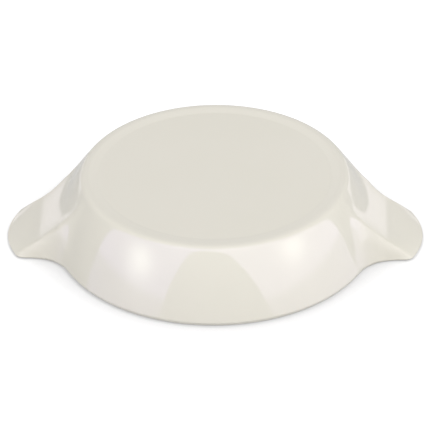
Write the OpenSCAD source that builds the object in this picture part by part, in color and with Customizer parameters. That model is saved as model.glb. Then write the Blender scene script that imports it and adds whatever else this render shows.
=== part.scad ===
// Rarebit dish: a shallow round bowl of glazed china with a lug on either side.
// The dish lies upside down on its rim. X runs from lug to lug, Z points up, and the
// origin is on the table under the middle of the bowl. Turned over about X it stands on
// its foot, as it does in use. All sizes are in millimetres and degrees.

/* [Bowl] */
// Diameter of the bowl over its rim
bowl_d = 156; // [146:1:176]
// Height from the rim to the foot
dish_h = 35.5; // [30:0.5:46]
// Diameter of the underside, where the shoulder starts to round
base_d = 124.5; // [104:0.5:128]
// Thickness of the rim
rim_t = 5; // [4:0.1:7]
// Thickness of the bottom in its middle
bottom_t = 5; // [3.5:0.1:8]

/* [Wall] */
// Radius of the shoulder between the underside and the wall
shoulder_r = 3.5; // [1.5:0.5:6]
// Angle below level at which the wall leaves the shoulder
shoulder_angle = 57; // [45:1:65]
// How far the wall runs on in that direction before it bends down
shoulder_pull = 10.5; // [4:0.5:14]
// Lean of the wall from upright where it meets the rim
rim_lean = 15; // [4:1:22]
// How far above the rim the wall already has that lean
rim_rise = 11.5; // [6:0.5:18]

/* [Inside] */
// Distance from the edge of the underside in to the edge of the level floor
floor_inset = 11; // [8:0.5:25]
// How far the inner curve runs on along the floor before it turns up
floor_pull = 14; // [8:0.5:18]
// How far the inner curve runs on down the wall before it turns in
wall_pull = 17; // [8:0.5:18]

/* [Lugs] */
// How far each lug stands out beyond the rim
lug_reach = 23; // [16:0.5:26]
// Width of a lug across its corners
lug_w = 46; // [36:0.5:54]
// Thickness of a lug at its edge
lug_t = 3.8; // [3:0.1:5]
// Radius of a lug's outer edge in plan
lug_tip_r = 46; // [30:1:80]
// Radius of a lug's two corners in plan
lug_corner_r = 4.5; // [4:0.5:11]
// Radius in plan of the hollow between a lug and the rim
neck_r = 20; // [16:1:34]
// Angle below level at which the sweep onto a lug leaves the shoulder
sweep_angle = 39; // [32:1:56]
// How far the sweep runs on in that direction before it turns out
sweep_pull = 10.5; // [6:0.5:20]
// Angle from upright at which the sweep runs out onto a lug, 90 being level
lug_lean = 73; // [60:1:86]
// How far the blunt end of the bowl stands out beyond the rim's circle under a lug
root_reach = 1.5; // [0:0.5:5]
// How softly the blunt end of the bowl is rounded off into its sides
root_soft = 3; // [1:0.5:6]
// How far above the rim the sweep onto a lug parts from the wall
lug_rise = 13; // [8:0.5:16]

/* [Foot] */
// Width of the foot that runs round the underside
foot_w = 1.6; // [1:0.1:5]
// Height of the foot over the hollow of the underside
foot_h = 0.5; // [0.3:0.1:1.5]
// Width of the bevel from the foot down into the hollow
foot_bevel = 4.5; // [0.6:0.1:6]
// Width of the flat on the crown of the rim
rim_flat = 0.6; // [0.3:0.1:1.2]

/* [Hidden] */
UP = [0, 0, 1];

// Steps along each stretch of a quarter of the outline
TIP_STEPS = 5;
CORNER_STEPS = 6;
NECK_STEPS = 8;
RIM_STEPS = 14;
// Steps along each stretch of a section through the wall
SHOULDER_STEPS = 3;
WALL_STEPS = 10;
EDGE_STEPS = 2;
CROWN_STEPS = 3;
MOUTH_STEPS = 4;
INSIDE_STEPS = 9;
// Powers by which a lug's edge takes over from the rim's edge, and by which a lug is
// drawn out of the wall
EDGE_POWER = 1.5;
LUG_POWER = 3;
// How far the wall has swelled where it leaves the shoulder at the sweep's own angle
FULL_SWELL = 6;
// Least cosine that the reach of the blunt end is divided by, in the plane across the bowl
LEAST_COSINE = 0.01;

rim_r = bowl_d / 2;
base_r = base_d / 2;
floor_r = base_r - floor_inset;
hollow_z = dish_h - foot_h;
floor_z = hollow_z - bottom_t;
rim_round = (rim_t - rim_flat) / 2;
lug_round = lug_t / 2;
mouth_r = rim_r - rim_t + rim_round;

// Centres of the three arcs that round a lug: its tip, its corner and its neck
tip_x = rim_r + lug_reach - lug_tip_r;
corner_y = lug_w / 2 - lug_corner_r;
corner = [tip_x + sqrt((lug_tip_r - lug_corner_r) ^ 2 - corner_y ^ 2), corner_y];
neck_out = rim_r + neck_r;
neck_gap = neck_r + lug_corner_r;
neck_turn = acos((neck_out ^ 2 + norm(corner) ^ 2 - neck_gap ^ 2) / (2 * neck_out * norm(corner)));
neck_angle = atan2(corner.y, corner.x) + neck_turn;
neck = neck_out * [cos(neck_angle), sin(neck_angle)];

// Directions in which the tip arc hands over to the corner arc, and that to the neck arc
tip_end = atan2(corner.y, corner.x - tip_x);
corner_end = atan2(neck.y - corner.y, neck.x - corner.x);

function mix(a, b, share) = a + (b - a) * share;
function step(a, b, s, steps) = mix(a, b, s / steps);
function heading(a) = [cos(a), sin(a), 0];
function bezier(a, b, c, d, u) =
    a * (1 - u) ^ 3 + 3 * b * u * (1 - u) ^ 2 + 3 * c * u ^ 2 * (1 - u) + d * u ^ 3;

// A point on an arc that turns from a heading, at 0, to straight up, at 90
function arc_point(centre, radius, out, a) = centre + radius * (cos(a) * out + sin(a) * UP);

// A point of the upright plane in a heading, from its distance out and its height
function placed(out, p) = out * p.x + UP * p.y;

// A station is a place on the outline: its point in plan and the way its edge faces
quarter = [
    for (s = [0 : TIP_STEPS - 1])
        let (a = step(0, tip_end, s, TIP_STEPS))
        [[tip_x, 0, 0] + lug_tip_r * heading(a), a],
    for (s = [0 : CORNER_STEPS - 1])
        let (a = step(tip_end, corner_end, s, CORNER_STEPS))
        [[corner.x, corner.y, 0] + lug_corner_r * heading(a), a],
    for (s = [0 : NECK_STEPS - 1])
        let (a = step(corner_end, neck_angle, s, NECK_STEPS))
        [[neck.x, neck.y, 0] - neck_r * heading(a), a],
    for (s = [0 : RIM_STEPS])
        let (a = step(neck_angle, 90, s, RIM_STEPS))
        [rim_r * heading(a), a]
];

function flipped_x(st) = [[-st[0].x, st[0].y, 0], 180 - st[1]];
function flipped_y(st) = [[st[0].x, -st[0].y, 0], -st[1]];
last = len(quarter) - 1;
outline = [
    for (i = [0 : last]) quarter[i],
    for (i = [last - 1 : -1 : 0]) flipped_x(quarter[i]),
    for (i = [1 : last]) flipped_y(flipped_x(quarter[i])),
    for (i = [last - 1 : -1 : 1]) flipped_y(quarter[i])
];

// How much of a lug's edge there is at a point of the outline: 0 on the plain rim, 1 at
// the middle of a lug
function edge_share(point) =
    let (reach = max(0, min(1, (norm(point) - rim_r) / lug_reach)))
    1 - (1 - reach) ^ EDGE_POWER;

// The lesser of two lengths, rounded off where they come within a width of each other
function soft_min(a, b, width) =
    let (overlap = max(width - abs(a - b), 0) / width)
    min(a, b) - overlap ^ 2 * width / 4;

// Where the wall ends at the plain rim, as distance out and height
rim_end = [rim_r - rim_round * (1 - cos(rim_lean)), rim_round * (1 + sin(rim_lean))];

// How far the bowl itself swells out in the plane through the end of a wall: to the lug's
// outline, but no further than the blunt end, which is a straight line across in plan
function swell(wall_end) =
    let (
        way = atan2(wall_end.y, wall_end.x),
        drawn = norm([wall_end.x, wall_end.y]) - rim_end.x,
        blunt = (rim_r + root_reach) / max(abs(cos(way)), LEAST_COSINE) - rim_r
    )
    soft_min(drawn, blunt, root_soft);

// One section through the dish, from the hollow underside over the shoulder, down the
// wall, round the edge, along the top of the lug, round the mouth and up to the floor
function section(st) =
    let (
        side = heading(st[1]),
        share = edge_share(st[0]),
        edge_r = mix(rim_round, lug_round, share),
        lean = mix(rim_lean, lug_lean, share),
        edge = st[0] - side * edge_r + UP * edge_r,
        wall_end = arc_point(edge, edge_r, side, lean),
        out = heading(atan2(wall_end.y, wall_end.x)),
        swelled = swell(wall_end),
        sweep = swelled / FULL_SWELL,
        shoulder = placed(out, [base_r, dish_h - shoulder_r]),
        start_angle = mix(shoulder_angle, sweep_angle, sweep),
        wall_start = arc_point(shoulder, shoulder_r, out, 90 - start_angle),
        wall_way = placed(out, [cos(start_angle), -sin(start_angle)]),
        wall_turn = wall_start + mix(shoulder_pull, sweep_pull, sweep) * wall_way,
        rise = mix(rim_rise, lug_rise, share),
        smooth_end = placed(out, rim_end + [swelled, 0]),
        smooth_hold = smooth_end + placed(out, rise * [-tan(rim_lean), 1]),
        mouth = placed(out, [mouth_r, rim_round]),
        inside_start = arc_point(mouth, rim_round, out, rim_lean - 180),
        inside_way = placed(out, [-sin(rim_lean), cos(rim_lean)]),
        inside_end = placed(out, [floor_r, floor_z])
    )
    [
        placed(out, [base_r - foot_w - foot_bevel, hollow_z]),
        placed(out, [base_r - foot_w, dish_h]),
        for (s = [0 : SHOULDER_STEPS])
            arc_point(shoulder, shoulder_r, out, step(90, 90 - start_angle, s, SHOULDER_STEPS)),
        for (s = [1 : WALL_STEPS])
            let (u = s / WALL_STEPS)
            bezier(wall_start, wall_turn, smooth_hold, smooth_end, u)
                + (wall_end - smooth_end) * u ^ LUG_POWER,
        for (s = [1 : EDGE_STEPS])
            arc_point(edge, edge_r, side, step(lean, 0, s, EDGE_STEPS)),
        for (s = [1 : CROWN_STEPS])
            arc_point(edge, edge_r, side, step(0, -90, s, CROWN_STEPS)),
        for (s = [0 : MOUTH_STEPS])
            arc_point(mouth, rim_round, out, step(-90, rim_lean - 180, s, MOUTH_STEPS)),
        for (s = [1 : INSIDE_STEPS])
            bezier(inside_start, inside_start + wall_pull * inside_way,
                inside_end + floor_pull * out, inside_end, s / INSIDE_STEPS)
    ];

sections = [for (st = outline) section(st)];
rings = len(sections[0]);
stations = len(outline);
function at(i, j) = (i % stations) * rings + j;

skin_points = [
    for (row = sections) each row,
    UP * hollow_z,
    UP * floor_z
];
underside_middle = stations * rings;
floor_middle = underside_middle + 1;
skin_faces = [
    for (i = [0 : stations - 1]) each [
        [underside_middle, at(i + 1, 0), at(i, 0)],
        for (j = [0 : rings - 2]) each [
            [at(i, j), at(i + 1, j), at(i + 1, j + 1)],
            [at(i, j), at(i + 1, j + 1), at(i, j + 1)]
        ],
        [floor_middle, at(i, rings - 1), at(i + 1, rings - 1)]
    ]
];

// The whole dish, shaped in one piece and glazed all over
module dish() {
    color([0.89, 0.875, 0.83])
        polyhedron(points = skin_points, faces = skin_faces, convexity = 6);
}

dish();
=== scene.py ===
"""Ivory rarebit dish, lying upside down on its rim on a white table.

The CAD node gives the shape. The piece made here copies its mesh, draws each lug out as an
even ramp, refines the foot and the two flat middles, smooths the skin and glazes it.
Lengths are in metres, and the angles named below are in degrees.
"""

import math

import bpy
from mathutils import Matrix, Vector


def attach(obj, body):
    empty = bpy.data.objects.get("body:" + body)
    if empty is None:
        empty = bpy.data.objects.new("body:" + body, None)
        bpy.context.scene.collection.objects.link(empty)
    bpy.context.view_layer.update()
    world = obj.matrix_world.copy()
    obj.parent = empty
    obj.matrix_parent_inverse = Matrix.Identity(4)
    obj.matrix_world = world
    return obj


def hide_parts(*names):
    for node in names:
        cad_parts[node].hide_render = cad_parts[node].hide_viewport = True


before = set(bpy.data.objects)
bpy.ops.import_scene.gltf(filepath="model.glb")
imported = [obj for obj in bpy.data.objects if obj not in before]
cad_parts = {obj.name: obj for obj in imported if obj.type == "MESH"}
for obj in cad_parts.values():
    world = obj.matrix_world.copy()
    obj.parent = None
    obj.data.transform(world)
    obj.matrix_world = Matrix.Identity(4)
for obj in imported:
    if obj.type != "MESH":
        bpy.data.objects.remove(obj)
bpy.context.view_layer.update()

# Camera, from a fit of the dish's outline to the photograph. Lengths in pixels are in the
# photograph's own 430 x 430 frame.
PICTURE_PX = 430
CAMERA_ELEVATION = 33.735
CAMERA_YAW = -1.55
CAMERA_ROLL = -0.518
CAMERA_DISTANCE = 1.5
FOCAL_PX = 3080.46
AIM_HEIGHT = 0.0114
SENSOR_MM = 36
CLIP_NEAR = 0.05
CLIP_FAR = 50

# The two tall panels like windows that the glaze mirrors: bearing from the front towards
# +X, height above level, roll, half width, colour, and the place of the hottest spot with
# the colour that it adds
PANEL_DISTANCE = 2.0
LEFT_PANEL = {
    "bearing": -57.9, "height": 10.4, "roll": -20.8, "half_width": 1.03,
    "colour": (2.25, 2.0, 3.2), "heart": (0.08, 0.11, 0), "heart_glow": (3.6, 3.8, 3.2),
}
RIGHT_PANEL = {
    "bearing": 63.4, "height": 14.6, "roll": 31.1, "half_width": 1.26,
    "colour": (2.8, 2.55, 3.3), "heart": (0.04, 0.13, 0), "heart_glow": (2.8, 2.9, 2.5),
}
PANEL_LOW = -3.0
PANEL_HIGH = 4.5
HEART_SIZE = 0.36
# Heights over which a panel comes to full strength, and its share of it below them
PANEL_RISES = (-0.10, 0.07)
PANEL_FAINT = 0.45

# The pale strips of background that the lugs mirror: sides of the ring that they are cut
# from, bearings from the front on either side, heights, the height over which their ends
# fade, and colour
STRIP_SIDES = 180
STRIP_BEARINGS = (134, 156)
STRIP_HEIGHTS = (-0.24, 0.20)
STRIP_EDGE = 0.04
STRIP_COLOUR = (1.6, 1.53, 1.6)

# The lamps: bearing from the front towards +X, height above level and strength
KEY_LAMP = (30, 60, 1.38)
SIDE_LAMP = (-80, 10, 0.50)
LAMP_SPREAD = 40
# A near lamp on the right, which makes that side lighter: its place, size and power
NEAR_LAMP = (0.38, -0.20, 0.35)
NEAR_LAMP_RADIUS = 0.15
NEAR_LAMP_WATTS = 0.95

# Strength of the room's light, and of what the glaze mirrors of the room, in front and
# behind. Then the Y of a direction over which the front turns into the back, and the white
# that the camera sees all round
WORLD_FILL = (0.61, 0.24)
WORLD_MIRRORED = (1.0, 0.72)
WORLD_TURN = (0, 0.6)
WORLD_SEEN = (1, 1)

# The white table top: its size, how much light it throws back and how much it adds for the
# camera. Then the painted contact shadow, which ambient occlusion darkens into the table's colour
# and glow near the dish: how far that reaches, the share of light left in it, and the openness
# over which it fades
FLOOR_SIZE = 12.0
FLOOR_ALBEDO = 0.68
FLOOR_GLOW = 0.5
CONTACT_REACH = 0.026
CONTACT_DEPTH = 0.69
CONTACT_OPENNESS = (0.5, 1.07)
CONTACT_SAMPLES = 8

WHITE = (1, 1, 1)

# How near to each other two vertices are one, and two places the same
MERGE_GAP = 1e-6
SAME = 2e-5
# Rings that hold the edges of the two flat middles, as shares of a middle's radius
HOLLOW_RINGS = (0.985, 0.8, 0.4)
FLOOR_RINGS = (0.95, 0.7, 0.35)
# Softness of the foot's two edges, and the levels of smoothing
FOOT_SOFTENING = 0.0003
SKIN_LEVELS = 2

# The top of a lug before its edge is thinned: its height at the tip and its rise towards the
# bowl, then the added rise of the ramp up to the wall, with the place where it starts and how
# softly
TIP_X = 0.0997
TIP_HEIGHT = 0.0023
PLATE_RISE = 0.28
RAMP_RISE = 0.82
RAMP_X = 0.0855
RAMP_SOFT = 0.0035
# The sides of a lug, also before that: their height at its outline, their rise from there,
# and how softly they turn into the top
SIDE_FOOT = 0.0020
SIDE_RISE = 4.0
SIDE_SOFT = 0.0068
# How softly a lug turns into the wall, and how the wall falls away beyond the rim
WALL_SOFT = 0.004
WALL_FALL = -3.0
# How far a lug may stand over the CAD solid, and the radii and the angles off the lugs'
# line over which it comes to that
OVER_CAD = 0.008
OVER_CAD_RADII = (0.075, 0.080)
OVER_CAD_ANGLES = (27, 21)
# What the heights near a lug's edge are then scaled to, over which radii that comes in, and
# below which height it acts
THINNER_EDGE = 0.64
THINNER_RADII = (0.080, 0.089)
EDGE_TOP = 0.0042
# How much narrower a lug is at its tip, and over which distances from the middle
NARROWER_TIP = 0.06
NARROWER_X = (0.084, 0.101)

# Which vertices the lugs' form moves: those up to an angle off the lugs' line, beyond a
# radius, above a height and facing upwards by at least this much
LUG_ANGLE = 40
LUG_RADIUS = 0.0625
LUG_HEIGHT = 0.002
LUG_UPWARD = 0.08
# Which vertices are on the dish's outer edge: those that face nearly level and lie between
# two heights, with this many places told apart in each degree
EDGE_LEVEL = 0.2
EDGE_HEIGHTS = (0.001, 0.004)
PLACES_PER_DEGREE = 50
# Least square of a length along that edge, so that none is divided by nothing
LEAST_SQUARE = 1e-12
# Which vertices are on the plain wall: those beyond a radius that face upwards by this much
WALL_RADIUS = 0.06
WALL_UPWARD = 0.05

# The glaze's ivory and where it is deeper, then a painted shade on the foot's crest, a little
# darker than the ivory to tone down its highlight, and painted light in the groove beside the
# crest, lighter than the ivory to lift its shade
IVORY = (0.785, 0.755, 0.675)
IVORY_DEEP = (0.777, 0.748, 0.664)
CREST_PAINTED_SHADE = (0.775, 0.745, 0.667)
GROOVE_PAINTED_LIGHT = (0.792, 0.762, 0.682)
GLAZE_IOR = 1.52
# Scale and detail of the clouds of deeper ivory, and the noise over which they come in
CLOUDS = (16, 3)
CLOUD_RANGE = (0.35, 0.65)
# Scale and detail of the slow ripple and the fine peel, the peel's share, and their height
RIPPLE = (70, 2)
PEEL = (420, 2)
PEEL_SHARE = 0.12
RIPPLE_HEIGHT = 0.00002
# Scale and detail of the changes of gloss, the noise over which they come, and the
# roughness that they give
GLOSS = (45, 3)
GLOSS_RANGE = (0.3, 0.7)
GLOSS_ROUGHNESS = (0.04, 0.07)
# Depths below the foot over which its rings come in, and each ring's distance from the
# foot's inner edge with the half widths between which it fades
RING_DEPTHS = (0.0015, 0.0007)
CREST_RING = (0.0012, 0.0004, 0.0016)
GROOVE_RING = (-0.0022, 0.0006, 0.0032)
# Where the lugs begin and where their sides begin, what the crest and the lugs add to the
# roughness, and the level of mirroring with what the lugs' sides add to it
ON_LUG = (0.066, 0.078)
ON_SIDE = (0.010, 0.020)
CREST_ROUGHER = 0.05
LUG_ROUGHER = 0.06
MIRRORING = 0.5
SIDE_DULLER = -0.42


def direction(bearing, height):
    """The way out from the origin, by bearing from the front towards +X and height above level."""
    bearing, height = math.radians(bearing), math.radians(height)
    level = math.cos(height)
    return Vector((level * math.sin(bearing), -level * math.cos(bearing), math.sin(height)))


def radius(co):
    return math.hypot(co.x, co.y)


def fade(value, start, end):
    """A smooth step from 0 at start to 1 at end."""
    share = min(max((value - start) / (end - start), 0), 1)
    return share * share * (3 - 2 * share)


def soft_min(a, b, width):
    """The lesser of two lengths, rounded off where they come within a width of each other."""
    overlap = max(width - abs(a - b), 0) / width
    return min(a, b) - overlap ** 2 * width / 4


def deselect_all():
    if bpy.context.object and bpy.context.object.mode != "OBJECT":
        bpy.ops.object.mode_set(mode="OBJECT")
    bpy.ops.object.select_all(action="DESELECT")


def work_on(obj):
    """Makes obj the one selected and active object."""
    deselect_all()
    obj.select_set(True)
    bpy.context.view_layer.objects.active = obj


def clear_picks(obj, select_mode):
    """Works on obj with nothing of its mesh selected, and sets what edit mode selects."""
    work_on(obj)
    bpy.ops.object.mode_set(mode="EDIT")
    bpy.ops.mesh.select_mode(type=select_mode)
    bpy.ops.mesh.select_all(action="DESELECT")
    bpy.ops.object.mode_set(mode="OBJECT")


def pick_faces(obj, wanted):
    """Selects the faces whose corners all pass the test, and goes into edit mode."""
    clear_picks(obj, "FACE")
    mesh = obj.data
    for face in mesh.polygons:
        face.select = all(wanted(mesh.vertices[v].co) for v in face.vertices)
    bpy.ops.object.mode_set(mode="EDIT")


def pick_ring(obj, ring_r, ring_z):
    """Selects the edges that run round at one radius and height, and goes into edit mode."""
    clear_picks(obj, "EDGE")
    mesh = obj.data

    def on_ring(v):
        co = mesh.vertices[v].co
        return abs(radius(co) - ring_r) < SAME and abs(co.z - ring_z) < SAME

    for line in mesh.edges:
        line.select = all(on_ring(v) for v in line.vertices)
    bpy.ops.object.mode_set(mode="EDIT")


def close_flat(obj, flat_r, flat_z, ring_shares):
    """Turns a flat fan into rings that hold its edge, with a small closed pole."""
    pick_faces(obj, lambda co: radius(co) < flat_r + SAME and abs(co.z - flat_z) < SAME)
    bpy.ops.mesh.dissolve_faces()
    reached = 1.0
    for share in ring_shares:
        shrink = share / reached
        bpy.ops.mesh.extrude_region()
        bpy.ops.transform.resize(
            value=(shrink, shrink, 1), center_override=(0, 0, flat_z), orient_type="GLOBAL"
        )
        reached = share
    bpy.ops.mesh.poke()
    bpy.ops.object.mode_set(mode="OBJECT")


def widest_line(mesh):
    """The line round the dish where it is widest, as points in plan, in order."""
    low, high = EDGE_HEIGHTS
    widest = {}
    for v in mesh.vertices:
        outward = abs(v.normal.z) < EDGE_LEVEL and v.normal.dot(v.co) > 0
        if outward and low < v.co.z < high:
            bearing = math.degrees(math.atan2(v.co.y, v.co.x))
            place = round(bearing * PLACES_PER_DEGREE)
            if place not in widest or radius(v.co) > widest[place].length:
                widest[place] = v.co.xy
    return [widest[place] for place in sorted(widest)]


def gap_to_line(point, line):
    """The distance in plan from a point to the nearest place on a closed line."""
    gaps = []
    for a, b in zip(line, line[1:] + line[:1]):
        along = b - a
        share = (point - a).dot(along) / max(along.length_squared, LEAST_SQUARE)
        share = min(max(share, 0), 1)
        gaps.append((point - a - share * along).length)
    return min(gaps)


def plain_wall(mesh):
    """The height of the plain wall at a radius, read from the section across the lugs."""
    points = []
    for v in mesh.vertices:
        if abs(v.co.x) < SAME and v.co.y > WALL_RADIUS and v.normal.z > WALL_UPWARD:
            points.append((v.co.y, v.co.z))
    points.sort()
    end_r, end_z = points[-1]

    def height(r):
        if r > end_r:
            return end_z + (r - end_r) * WALL_FALL
        for (r0, z0), (r1, z1) in zip(points, points[1:]):
            if r <= r1:
                return z0 + (z1 - z0) * (r - r0) / (r1 - r0)

    return height


def shape_lugs(dish):
    """Draws each lug out of the wall as one even ramp across its whole width, as the light
    bands in the photograph show it, where the CAD solid has a ridge along its middle. Then
    makes the lugs' edges thinner and their tips narrower."""
    mesh = dish.data
    line = widest_line(mesh)
    wall = plain_wall(mesh)
    moved = []
    for v in mesh.vertices:
        x, r = abs(v.co.x), radius(v.co)
        turn = math.degrees(math.atan2(abs(v.co.y), x))
        if v.normal.z < LUG_UPWARD or v.co.z < LUG_HEIGHT:
            continue
        if r < LUG_RADIUS or turn > LUG_ANGLE:
            continue
        ramp = RAMP_RISE * RAMP_SOFT * math.log1p(math.exp((RAMP_X - x) / RAMP_SOFT))
        top = TIP_HEIGHT + PLATE_RISE * (TIP_X - x) + ramp
        side = SIDE_FOOT + SIDE_RISE * gap_to_line(v.co.xy, line)
        lug = soft_min(top, side, SIDE_SOFT)
        height = -soft_min(-wall(r), -lug, WALL_SOFT)
        allowed = OVER_CAD * fade(r, *OVER_CAD_RADII) * fade(turn, *OVER_CAD_ANGLES)
        moved.append((v, min(height, v.co.z + allowed)))
    for v, height in moved:
        v.co.z = height
    for v in mesh.vertices:
        if v.co.z < EDGE_TOP:
            v.co.z *= 1 + (THINNER_EDGE - 1) * fade(radius(v.co), *THINNER_RADII)
        v.co.y *= 1 - NARROWER_TIP * fade(abs(v.co.x), *NARROWER_X)
    mesh.update()


def make_dish():
    """The dish's smooth skin, from a merged copy of the CAD node, with the height of its
    foot and the radius of the foot's inner edge."""
    dish = bpy.data.objects.new("ivory_dish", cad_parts["dish"].data.copy())
    bpy.context.scene.collection.objects.link(dish)
    clear_picks(dish, "VERT")
    bpy.ops.object.mode_set(mode="EDIT")
    bpy.ops.mesh.select_all(action="SELECT")
    bpy.ops.mesh.remove_doubles(threshold=MERGE_GAP)
    bpy.ops.mesh.tris_convert_to_quads(face_threshold=math.pi, shape_threshold=math.pi)
    bpy.ops.object.mode_set(mode="OBJECT")

    points = [v.co.copy() for v in dish.data.vertices]
    top = max(co.z for co in points)
    foot_r = min(radius(co) for co in points if co.z > top - SAME)
    inside_foot = [co for co in points if radius(co) < foot_r - SAME]
    hollow_z = max(co.z for co in inside_foot)
    hollow_r = max(radius(co) for co in inside_foot if co.z > hollow_z - SAME)
    floor_z = min(co.z for co in points if radius(co) < SAME)
    floor_r = max(radius(co) for co in inside_foot if abs(co.z - floor_z) < SAME)

    shape_lugs(dish)
    close_flat(dish, hollow_r, hollow_z, HOLLOW_RINGS)
    close_flat(dish, floor_r, floor_z, FLOOR_RINGS)
    for ring_r, ring_z in ((foot_r, top), (hollow_r, hollow_z)):
        pick_ring(dish, ring_r, ring_z)
        bpy.ops.mesh.bevel(offset=FOOT_SOFTENING, segments=2, profile=0.5, affect="EDGES")
        bpy.ops.object.mode_set(mode="OBJECT")

    work_on(dish)
    skin = dish.modifiers.new("smooth_skin", "SUBSURF")
    skin.levels = SKIN_LEVELS
    skin.render_levels = SKIN_LEVELS
    bpy.ops.object.modifier_apply(modifier=skin.name)
    bpy.ops.object.shade_smooth()
    return dish, top, foot_r


def new_material(name):
    """A material with an empty node tree but for its output, which comes third."""
    material = bpy.data.materials.new(name)
    material.use_nodes = True
    tree = material.node_tree
    tree.nodes.clear()
    output = tree.nodes.new("ShaderNodeOutputMaterial")
    return material, tree, output


def node(tree, kind, **settings):
    made = tree.nodes.new(kind)
    for key, value in settings.items():
        setattr(made, key, value)
    return made


def noise(tree, coordinates, scale, detail):
    made = node(tree, "ShaderNodeTexNoise")
    made.inputs["Scale"].default_value = scale
    made.inputs["Detail"].default_value = detail
    tree.links.new(coordinates, made.inputs["Vector"])
    return made.outputs["Fac"]


def remap(tree, value, from_low, from_high, to_low, to_high):
    """A smooth step of a value from one range to another."""
    made = node(tree, "ShaderNodeMapRange", interpolation_type="SMOOTHSTEP")
    made.inputs["From Min"].default_value = from_low
    made.inputs["From Max"].default_value = from_high
    made.inputs["To Min"].default_value = to_low
    made.inputs["To Max"].default_value = to_high
    tree.links.new(value, made.inputs["Value"])
    return made.outputs["Result"]


def maths(tree, operation, *values):
    """What a Math node makes of one or two values, each a number or a socket."""
    made = node(tree, "ShaderNodeMath", operation=operation)
    for socket, value in zip(made.inputs, values):
        if isinstance(value, (int, float)):
            socket.default_value = value
        else:
            tree.links.new(value, socket)
    return made.outputs["Value"]


def tint(tree, share, first, second):
    """A colour between two, each a colour or a socket, by a share from 0 to 1."""
    made = node(tree, "ShaderNodeMix", data_type="RGBA")
    tree.links.new(share, made.inputs["Factor"])
    for socket, value in ((made.inputs[6], first), (made.inputs[7], second)):
        if isinstance(value, tuple):
            socket.default_value = (*value, 1)
        else:
            tree.links.new(value, socket)
    return made.outputs[2]


def either(tree, share, first, second):
    """The first shader where share is 0, the second where it is 1."""
    mixed = node(tree, "ShaderNodeMixShader")
    tree.links.new(share, mixed.inputs["Fac"])
    tree.links.new(first, mixed.inputs[1])
    tree.links.new(second, mixed.inputs[2])
    return mixed.outputs["Shader"]


def mirrored_ray(tree, path):
    """1 for a ray that has left a glossy or clear surface, and 0 for any other."""
    return maths(tree, "MAXIMUM", path["Is Glossy Ray"], path["Is Transmission Ray"])


def glaze_material(top, foot_r):
    """Clear glossy glaze over an ivory china body."""
    material, tree, output = new_material("ivory_glaze")
    place = node(tree, "ShaderNodeTexCoord").outputs["Object"]
    parts = node(tree, "ShaderNodeSeparateXYZ")
    tree.links.new(place, parts.inputs["Vector"])
    flat = node(tree, "ShaderNodeCombineXYZ")
    tree.links.new(parts.outputs["X"], flat.inputs["X"])
    tree.links.new(parts.outputs["Y"], flat.inputs["Y"])
    distance = node(tree, "ShaderNodeVectorMath", operation="LENGTH")
    tree.links.new(flat.outputs["Vector"], distance.inputs[0])

    deeper = remap(tree, noise(tree, place, *CLOUDS), *CLOUD_RANGE, 0, 1)
    colour = tint(tree, deeper, IVORY, IVORY_DEEP)
    ring_low, ring_high = (top - depth for depth in RING_DEPTHS)
    on_top = remap(tree, parts.outputs["Z"], ring_low, ring_high, 0, 1)

    def ring(from_foot, inner, outer):
        aside = maths(tree, "SUBTRACT", distance.outputs["Value"], foot_r + from_foot)
        gap = maths(tree, "ABSOLUTE", aside)
        return maths(tree, "MULTIPLY", remap(tree, gap, inner, outer, 1, 0), on_top)

    def beyond(axis, span):
        return remap(tree, maths(tree, "ABSOLUTE", parts.outputs[axis]), *span, 0, 1)

    crest = ring(*CREST_RING)
    # Painted light: the groove inside the foot is tinted lighter than the ivory to lift its shade
    colour = tint(tree, ring(*GROOVE_RING), colour, GROOVE_PAINTED_LIGHT)
    # Painted shade: the crest is tinted a little darker than the ivory to tone down its highlight
    colour = tint(tree, crest, colour, CREST_PAINTED_SHADE)

    ripple = noise(tree, place, *RIPPLE)
    peel = maths(tree, "MULTIPLY", noise(tree, place, *PEEL), PEEL_SHARE)
    bump = node(tree, "ShaderNodeBump")
    bump.inputs["Strength"].default_value = 1
    bump.inputs["Distance"].default_value = RIPPLE_HEIGHT
    tree.links.new(maths(tree, "ADD", ripple, peel), bump.inputs["Height"])

    on_lug = beyond("X", ON_LUG)
    on_lug_side = maths(tree, "MULTIPLY", on_lug, beyond("Y", ON_SIDE))
    duller = maths(tree, "MULTIPLY", on_lug_side, SIDE_DULLER)
    gloss = remap(tree, noise(tree, place, *GLOSS), *GLOSS_RANGE, *GLOSS_ROUGHNESS)
    crest_worn = maths(tree, "MULTIPLY", crest, CREST_ROUGHER)
    worn = maths(tree, "ADD", crest_worn, maths(tree, "MULTIPLY", on_lug, LUG_ROUGHER))
    shader = node(tree, "ShaderNodeBsdfPrincipled")
    shader.inputs["IOR"].default_value = GLAZE_IOR
    tree.links.new(colour, shader.inputs["Base Color"])
    tree.links.new(maths(tree, "ADD", duller, MIRRORING), shader.inputs["Specular IOR Level"])
    tree.links.new(maths(tree, "ADD", gloss, worn), shader.inputs["Roughness"])
    tree.links.new(bump.outputs["Normal"], shader.inputs["Normal"])
    tree.links.new(shader.outputs["BSDF"], output.inputs["Surface"])
    return material


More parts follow.
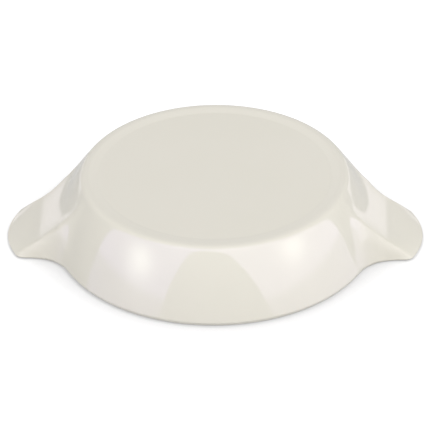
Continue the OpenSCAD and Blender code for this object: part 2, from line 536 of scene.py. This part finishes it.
def make_floor():
    """White table top: it keeps the dish's shadow, with a painted contact shadow darkened into its
    colour and glow near the dish, and is plain white away from it.
    """
    deselect_all()
    bpy.ops.mesh.primitive_plane_add(size=FLOOR_SIZE, location=(0, 0, 0))
    floor = bpy.context.object
    floor.name = "table_top"
    material, tree, output = new_material("white_table")
    path = node(tree, "ShaderNodeLightPath").outputs
    # Painted contact shadow: ambient occlusion darkens the table's colour and glow near the dish
    hidden = node(tree, "ShaderNodeAmbientOcclusion", samples=CONTACT_SAMPLES)
    hidden.inputs["Distance"].default_value = CONTACT_REACH
    open_share = remap(tree, hidden.outputs["AO"], *CONTACT_OPENNESS, CONTACT_DEPTH, 1)
    paper = node(tree, "ShaderNodeBsdfDiffuse")
    tree.links.new(maths(tree, "MULTIPLY", open_share, FLOOR_ALBEDO), paper.inputs["Color"])
    glow = node(tree, "ShaderNodeEmission")
    glow.inputs["Color"].default_value = (*WHITE, 1)
    glowing = maths(tree, "MULTIPLY", path["Is Camera Ray"], FLOOR_GLOW)
    tree.links.new(maths(tree, "MULTIPLY", glowing, open_share), glow.inputs["Strength"])
    both = node(tree, "ShaderNodeAddShader")
    tree.links.new(paper.outputs["BSDF"], both.inputs[0])
    tree.links.new(glow.outputs["Emission"], both.inputs[1])
    clear = node(tree, "ShaderNodeBsdfTransparent").outputs["BSDF"]
    surface = either(tree, mirrored_ray(tree, path), both.outputs["Shader"], clear)
    tree.links.new(surface, output.inputs["Surface"])
    floor.data.materials.append(material)


def make_world():
    """Pale room light, dimmer behind the dish, with white behind all that the camera sees."""
    world = bpy.data.worlds.new("studio")
    bpy.context.scene.world = world
    world.use_nodes = True
    tree = world.node_tree
    tree.nodes.clear()
    output = node(tree, "ShaderNodeOutputWorld")
    parts = node(tree, "ShaderNodeSeparateXYZ")
    tree.links.new(node(tree, "ShaderNodeTexCoord").outputs["Generated"], parts.inputs["Vector"])

    def room(strengths):
        light = node(tree, "ShaderNodeBackground")
        light.inputs["Color"].default_value = (*WHITE, 1)
        strength = remap(tree, parts.outputs["Y"], *WORLD_TURN, *strengths)
        tree.links.new(strength, light.inputs["Strength"])
        return light.outputs["Background"]

    path = node(tree, "ShaderNodeLightPath").outputs
    lit = either(tree, mirrored_ray(tree, path), room(WORLD_FILL), room(WORLD_MIRRORED))
    seen = either(tree, path["Is Camera Ray"], lit, room(WORLD_SEEN))
    tree.links.new(seen, output.inputs["Surface"])


def make_lamp(name, bearing, height, strength):
    """A large soft lamp, which the glaze doesn't mirror: it shows the panels in its stead."""
    deselect_all()
    towards = direction(bearing, height)
    bpy.ops.object.light_add(type="SUN", location=towards * PANEL_DISTANCE)
    lamp = bpy.context.object
    lamp.name = name
    lamp.rotation_mode = "QUATERNION"
    lamp.rotation_quaternion = towards.to_track_quat("Z", "Y")
    lamp.data.energy = strength
    lamp.data.angle = math.radians(LAMP_SPREAD)
    lamp.visible_glossy = False


def make_near_lamp():
    """A small lamp close to the dish, which the glaze doesn't mirror either."""
    deselect_all()
    bpy.ops.object.light_add(type="POINT", location=NEAR_LAMP)
    lamp = bpy.context.object
    lamp.name = "near_lamp"
    lamp.data.energy = NEAR_LAMP_WATTS
    lamp.data.shadow_soft_size = NEAR_LAMP_RADIUS
    lamp.visible_glossy = False


def show_in_glaze_only(obj):
    """Leaves an object to glossy rays: it shows in the glaze and lights nothing else."""
    obj.visible_camera = False
    obj.visible_diffuse = False
    obj.visible_transmission = False
    obj.visible_volume_scatter = False
    obj.visible_shadow = False


def glow_material(name, tree_colour):
    """A material that only glows, in the colour that tree_colour makes in its node tree."""
    material, tree, output = new_material(name)
    light = node(tree, "ShaderNodeEmission")
    light.inputs["Strength"].default_value = 1
    tree.links.new(tree_colour(tree), light.inputs["Color"])
    tree.links.new(light.outputs["Emission"], output.inputs["Surface"])
    return material


def height_of(tree):
    parts = node(tree, "ShaderNodeSeparateXYZ")
    position = node(tree, "ShaderNodeNewGeometry").outputs["Position"]
    tree.links.new(position, parts.inputs["Vector"])
    return parts.outputs["Z"]


def make_panel(name, form):
    """A tall bright panel beside the camera that shows in the glaze, brightest at its heart
    and fainter below the level of the table, where the table dims it."""
    away = direction(form["bearing"], form["height"])
    bearing, roll = math.radians(form["bearing"]), math.radians(form["roll"])
    side = Vector((math.cos(bearing), math.sin(bearing), 0))
    up = away.cross(side)
    across = math.cos(roll) * side + math.sin(roll) * up
    along = math.cos(roll) * up - math.sin(roll) * side
    turn = Matrix((across, along, away)).transposed().to_4x4()

    deselect_all()
    bpy.ops.mesh.primitive_plane_add(size=1, location=(0, 0, 0))
    panel = bpy.context.object
    panel.name = name
    size = (2 * form["half_width"], PANEL_HIGH - PANEL_LOW, 1, 1)
    panel.data.transform(Matrix.Diagonal(size))
    panel.data.transform(Matrix.Translation((0, (PANEL_HIGH + PANEL_LOW) / 2, 0)))
    panel.matrix_world = Matrix.Translation(away * PANEL_DISTANCE) @ turn

    def colour(tree):
        share = remap(tree, height_of(tree), *PANEL_RISES, PANEL_FAINT, 1)
        plain_glow = tint(tree, share, WHITE, form["colour"])
        gap = node(tree, "ShaderNodeVectorMath", operation="DISTANCE")
        tree.links.new(node(tree, "ShaderNodeTexCoord").outputs["Object"], gap.inputs[0])
        gap.inputs[1].default_value = form["heart"]
        ratio = maths(tree, "DIVIDE", gap.outputs["Value"], HEART_SIZE)
        minus_square = maths(tree, "MULTIPLY", maths(tree, "MULTIPLY", ratio, ratio), -1)
        falling = maths(tree, "POWER", math.e, minus_square)
        hot = tuple(a + b for a, b in zip(form["colour"], form["heart_glow"]))
        return tint(tree, falling, plain_glow, hot)

    panel.data.materials.append(glow_material(name + "_light", colour))
    show_in_glaze_only(panel)


def make_strips():
    """The two pale strips of background, behind the dish to the left and right, that show as
    light bands where its lugs sweep out."""
    deselect_all()
    low, high = STRIP_HEIGHTS
    bpy.ops.mesh.primitive_cylinder_add(
        vertices=STRIP_SIDES, radius=PANEL_DISTANCE, depth=high - low, end_fill_type="NOTHING",
        location=(0, 0, (high + low) / 2)
    )
    strips = bpy.context.object
    strips.name = "background_strips"
    near, far = STRIP_BEARINGS
    clear_picks(strips, "FACE")
    for face in strips.data.polygons:
        bearing = abs(math.degrees(math.atan2(face.center.x, -face.center.y)))
        face.select = not near < bearing < far
    bpy.ops.object.mode_set(mode="EDIT")
    bpy.ops.mesh.delete(type="FACE")
    bpy.ops.object.mode_set(mode="OBJECT")

    def colour(tree):
        rising = remap(tree, height_of(tree), low, low + STRIP_EDGE, 0, 1)
        falling = remap(tree, height_of(tree), high - STRIP_EDGE, high, 1, 0)
        return tint(tree, maths(tree, "MULTIPLY", rising, falling), WHITE, STRIP_COLOUR)

    strips.data.materials.append(glow_material("strip_light", colour))
    show_in_glaze_only(strips)


def make_camera():
    """The photograph's camera: it looks at a point on the dish's axis, with no shift."""
    data = bpy.data.cameras.new("camera")
    camera = bpy.data.objects.new("camera", data)
    bpy.context.scene.collection.objects.link(camera)
    position = direction(-CAMERA_YAW, CAMERA_ELEVATION) * CAMERA_DISTANCE
    look = Vector((0, 0, AIM_HEIGHT)) - position
    aim = look.to_track_quat("-Z", "Y").to_matrix().to_4x4()
    roll = Matrix.Rotation(math.radians(CAMERA_ROLL), 4, "Z")
    camera.matrix_world = Matrix.Translation(position) @ aim @ roll
    data.sensor_fit = "HORIZONTAL"
    data.sensor_width = SENSOR_MM
    data.lens = FOCAL_PX / PICTURE_PX * SENSOR_MM
    data.clip_start = CLIP_NEAR
    data.clip_end = CLIP_FAR
    data.dof.use_dof = False
    bpy.context.scene.camera = camera


bpy.context.scene.view_settings.view_transform = "Standard"
make_camera()
make_world()
make_floor()
make_lamp("soft_key", *KEY_LAMP)
make_lamp("side_fill", *SIDE_LAMP)
make_near_lamp()
make_panel("left_panel", LEFT_PANEL)
make_panel("right_panel", RIGHT_PANEL)
make_strips()

dish, foot_top, foot_inner_r = make_dish()
dish.data.materials.clear()
dish.data.materials.append(glaze_material(foot_top, foot_inner_r))
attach(dish, "root")
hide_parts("dish")
